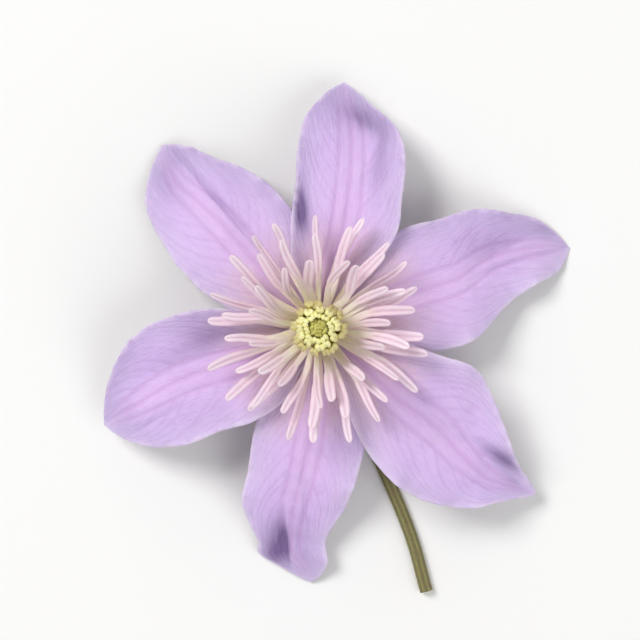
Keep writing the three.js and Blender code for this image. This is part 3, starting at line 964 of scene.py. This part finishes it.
def inner_material():
    stops = (
        (0.0, srgb(170, 162, 100)),
        (0.5, srgb(222, 214, 160)),
        (0.66, srgb(242, 236, 156)),
        (0.9, srgb(255, 250, 188)),
        (1.0, srgb(255, 252, 200)),
    )
    return strap_material(
        "inner_stamen", stops,
        edge=srgb(250, 243, 152), mottle_colour=srgb(253, 247, 164), tone_colour=srgb(192, 172, 108),
        grain=0.05,
    )


def pistil_material():
    stops = (
        (0.0, srgb(180, 182, 110)),
        (0.6, srgb(228, 222, 134)),
        (0.9, srgb(240, 234, 140)),
        (1.0, srgb(248, 243, 160)),
    )
    return strap_material(
        "style", stops,
        edge=srgb(222, 214, 118), mottle_colour=srgb(228, 220, 122), tone_colour=srgb(234, 226, 132),
        grain=0.04,
    )


# ---- Stalk and seat ----

STALK_AROUND = 60  # points round the stalk
RIB_FADE = (1.8, 1.3)  # radii from which and to which the ribs grow, off the seat
STALK_HAIRS = 2600  # tried, as the seat and the stalk's underside get none
DOWN_RADIUS = 1.6  # of the stalk where the seat starts
DOWN_LEVEL = -0.6  # under the stalk's middle, where its underside starts
DOWN_SEED = 41


def stalk_route():
    """Points and radii from the cut end along the floor, round the bend and up to the crown, and
    the direction beside the stalk."""
    lying = STALK_RADIUS - STALK_FLAT - HEART_HEIGHT
    straight = SEAT_BOTTOM - 0.6
    bend = straight - lying
    a = math.radians(STALK_HEADING)
    ahead = np.array([math.cos(a), math.sin(a), 0])
    aside = np.array([-math.sin(a), math.cos(a), 0])

    distance = np.linspace(STALK_REACH, bend, 110)
    shift = curve_through([bend, 20, 30, 41, STALK_REACH], [0, 0.5, 0.9, 0.7, -0.6], distance)
    lying_part = distance[:, None] * ahead + shift[:, None] * aside + [0, 0, lying]
    turn = np.radians(np.linspace(90, 0, 30))[1:]
    turned = bend * (1 - np.cos(turn))[:, None] * ahead
    turned[:, 2] = lying + bend * (1 - np.sin(turn))
    heights = np.linspace(straight, SEAT_TOP, 70)[1:]
    upright = np.zeros((len(heights), 3))
    upright[:, 2] = heights

    route = np.concatenate([lying_part, turned, upright])
    profile = [
        (straight - 1, STALK_RADIUS), (SEAT_BOTTOM - 0.3, STALK_RADIUS + 0.5),
        (SEAT_BOTTOM + 0.2, SEAT_RADIUS - 0.2), (SEAT_BOTTOM + 0.6, SEAT_RADIUS),
        (1.0, SEAT_RADIUS), (1.2, SEAT_RADIUS - 0.25), (2.5, SEAT_RADIUS - 0.25),
        (2.6, 2.0), (4.0, 2.0), (4.4, 1.4), (SEAT_TOP, 0.2),
    ]
    radius = np.full(len(route), STALK_RADIUS)
    radius[-len(heights):] = np.interp(heights, *zip(*profile))
    return route, radius, aside


def cut_end(rim, inward, start):
    """The cut end, slightly sunken inside the stalk's first ring: its rings of points, numbered from
    start, and its faces."""
    middle = rim.mean(0)
    rings = np.concatenate([middle + k * (rim - middle) + sink * inward for k, sink, _ in CUT_RINGS])
    loops = np.concatenate([np.arange(len(rim)), start + np.arange(len(rings))])
    faces = [list(loops[quad]) for quad in grid_faces(len(CUT_RINGS) + 1, len(rim), closed=True)]
    return rings, [*faces, list(loops[-len(rim):])]


def stalk_down(points, outward, radius, start):
    """Short down on the stalk, but not on its underside or the seat: its points, numbered from
    start, and its faces."""
    random = np.random.default_rng(DOWN_SEED)
    chosen = random.integers(0, len(points), STALK_HAIRS)
    chosen = chosen[(radius[chosen] < DOWN_RADIUS) & (outward[chosen, 2] > DOWN_LEVEL)]
    directions = outward[chosen] + random.normal(size=(len(chosen), 3)) * HAIR_SPREAD
    lengths = random.uniform(0.25, 0.6, len(chosen))
    down, faces, *_ = hair_part(
        points[chosen], directions, lengths, width=0.035, curl=0.4, seed=DOWN_SEED + 1
    )
    down[:, 2] = np.maximum(down[:, 2], -HEART_HEIGHT + 0.05)
    return down, [[start + k for k in f] for f in faces]


def make_stalk():
    route, radius, aside = stalk_route()
    a = 2 * np.pi * np.arange(STALK_AROUND) / STALK_AROUND
    furrow = np.abs(np.sin(STALK_RIBS * a / 2))
    slim = smooth((RIB_FADE[0] - radius) / (RIB_FADE[0] - RIB_FADE[1]))
    ring = radius[:, None] - STALK_FURROW * furrow**0.7 * slim[:, None]
    sections = np.stack([ring * np.cos(a), ring * np.sin(a)], -1)
    points, faces = loft(route, aside, sections)
    points[:, 2] = np.maximum(points[:, 2], -HEART_HEIGHT)
    share = np.repeat(np.linspace(0, 1, len(route)), STALK_AROUND)
    uv = np.stack([share, np.tile(np.arange(STALK_AROUND) / STALK_AROUND, len(route))], -1)

    # The cut end takes the place of the tube's first cap.
    del faces[-2]
    inward = (route[1] - route[0]) / np.linalg.norm(route[1] - route[0])
    rings, end_faces = cut_end(points[:STALK_AROUND], inward, len(points))
    outward = points - np.repeat(route, STALK_AROUND, axis=0)
    start = len(points) + len(rings)
    down, down_faces = stalk_down(points, outward, np.repeat(radius, STALK_AROUND), start)
    faces += end_faces + down_faces

    pale_rings = np.repeat([pale for *_, pale in CUT_RINGS], STALK_AROUND)
    pale = np.concatenate([np.zeros(len(points)), pale_rings, np.full(len(down), 0.8)])
    rest = len(rings) + len(down)
    uv = np.concatenate([uv, np.zeros((rest, 2))])
    values = {"furrow": np.concatenate([np.tile(furrow, len(route)), np.zeros(rest)]), "pale": pale}
    points = np.concatenate([points, rings, down])
    piece = make_piece("stalk", points, faces, stalk_material(), uv, values)
    finish_piece(piece, "stalk", "stalk")


def stalk_material():
    n = Nodes("stalk")
    streak = n.noise(8, 4, 0.6, n.blade(5, 2))
    colour = n.ramp(
        streak, (0.35, srgb(128, 138, 74)), (0.5, srgb(140, 134, 80)), (0.65, srgb(136, 98, 82))
    )
    # Painted shade in the furrows between the ribs.
    colour = n.mix(n.times(n.over(n.value("furrow"), 0.3, 1.0), 0.75), colour, srgb(84, 70, 52))
    mottle = n.noise(1500, 3, 0.6)
    colour = n.mix(n.times(mottle, 0.4), colour, srgb(150, 150, 100))
    colour = n.mix(n.value("pale"), colour, srgb(206, 208, 158))
    n.set(
        Base_Color=colour,
        Roughness=n.math("MULTIPLY_ADD", mottle, 0.3, 0.4),
        Normal=n.bump(mottle, 0.05, 0.6),
        Specular_IOR_Level=0.35,
    )
    return n.material


# ---- Floor and light ----

FLOOR_REACH = 3000  # on each side of the flower
WORLD_STRENGTH = 0.36


def make_floor():
    side = FLOOR_REACH * MM
    mesh = bpy.data.meshes.new("floor")
    corners = [(-side, -side, 0), (side, -side, 0), (side, side, 0), (-side, side, 0)]
    mesh.from_pydata(corners, [], [(0, 1, 2, 3)])
    n = Nodes("floor")
    share = n.times(n.noise(6, 2, 0.5), 0.1)
    n.set(Base_Color=n.mix(share, (0.93, 0.93, 0.93, 1), (0.88, 0.88, 0.87, 1)), Roughness=0.8)
    mesh.materials.append(n.material)
    floor = bpy.data.objects.new("floor", mesh)
    bpy.context.scene.collection.objects.link(floor)


def area_light(name, place, size, power, colour=(1, 1, 1)):
    """A soft square lamp at a place in millimetres from the heart, facing it."""
    data = bpy.data.lights.new(name, "AREA")
    data.shape = "SQUARE"
    data.size = size * MM
    data.energy = power
    data.color = colour
    lamp = bpy.data.objects.new(name, data)
    lamp.location = (HEART + place) * MM
    lamp.rotation_euler = Vector(place).to_track_quat("Z", "Y").to_euler()
    bpy.context.scene.collection.objects.link(lamp)


def make_light():
    area_light("key", (-1050, 825, 1550), size=850, power=25.5, colour=(1.0, 0.99, 0.97))
    area_light("fill", (1050, -1050, 1300), size=1750, power=16.5)
    area_light("back", (0, 1750, 650), size=1250, power=2.5)
    world = bpy.data.worlds.new("world")
    world.use_nodes = True
    background = world.node_tree.nodes["Background"]
    background.inputs["Color"].default_value = (1, 1, 1, 1)
    background.inputs["Strength"].default_value = WORLD_STRENGTH
    bpy.context.scene.world = world
    bpy.context.scene.view_settings.view_transform = "Standard"


petal = sepal_material()
for number, (name, sepal) in enumerate(SEPALS.items()):
    make_sepal(name, sepal, petal, SEED_STEP * number)
make_outer_stamens()
make_inner_stamens()
make_pistil()
make_stalk()
make_floor()
make_light()
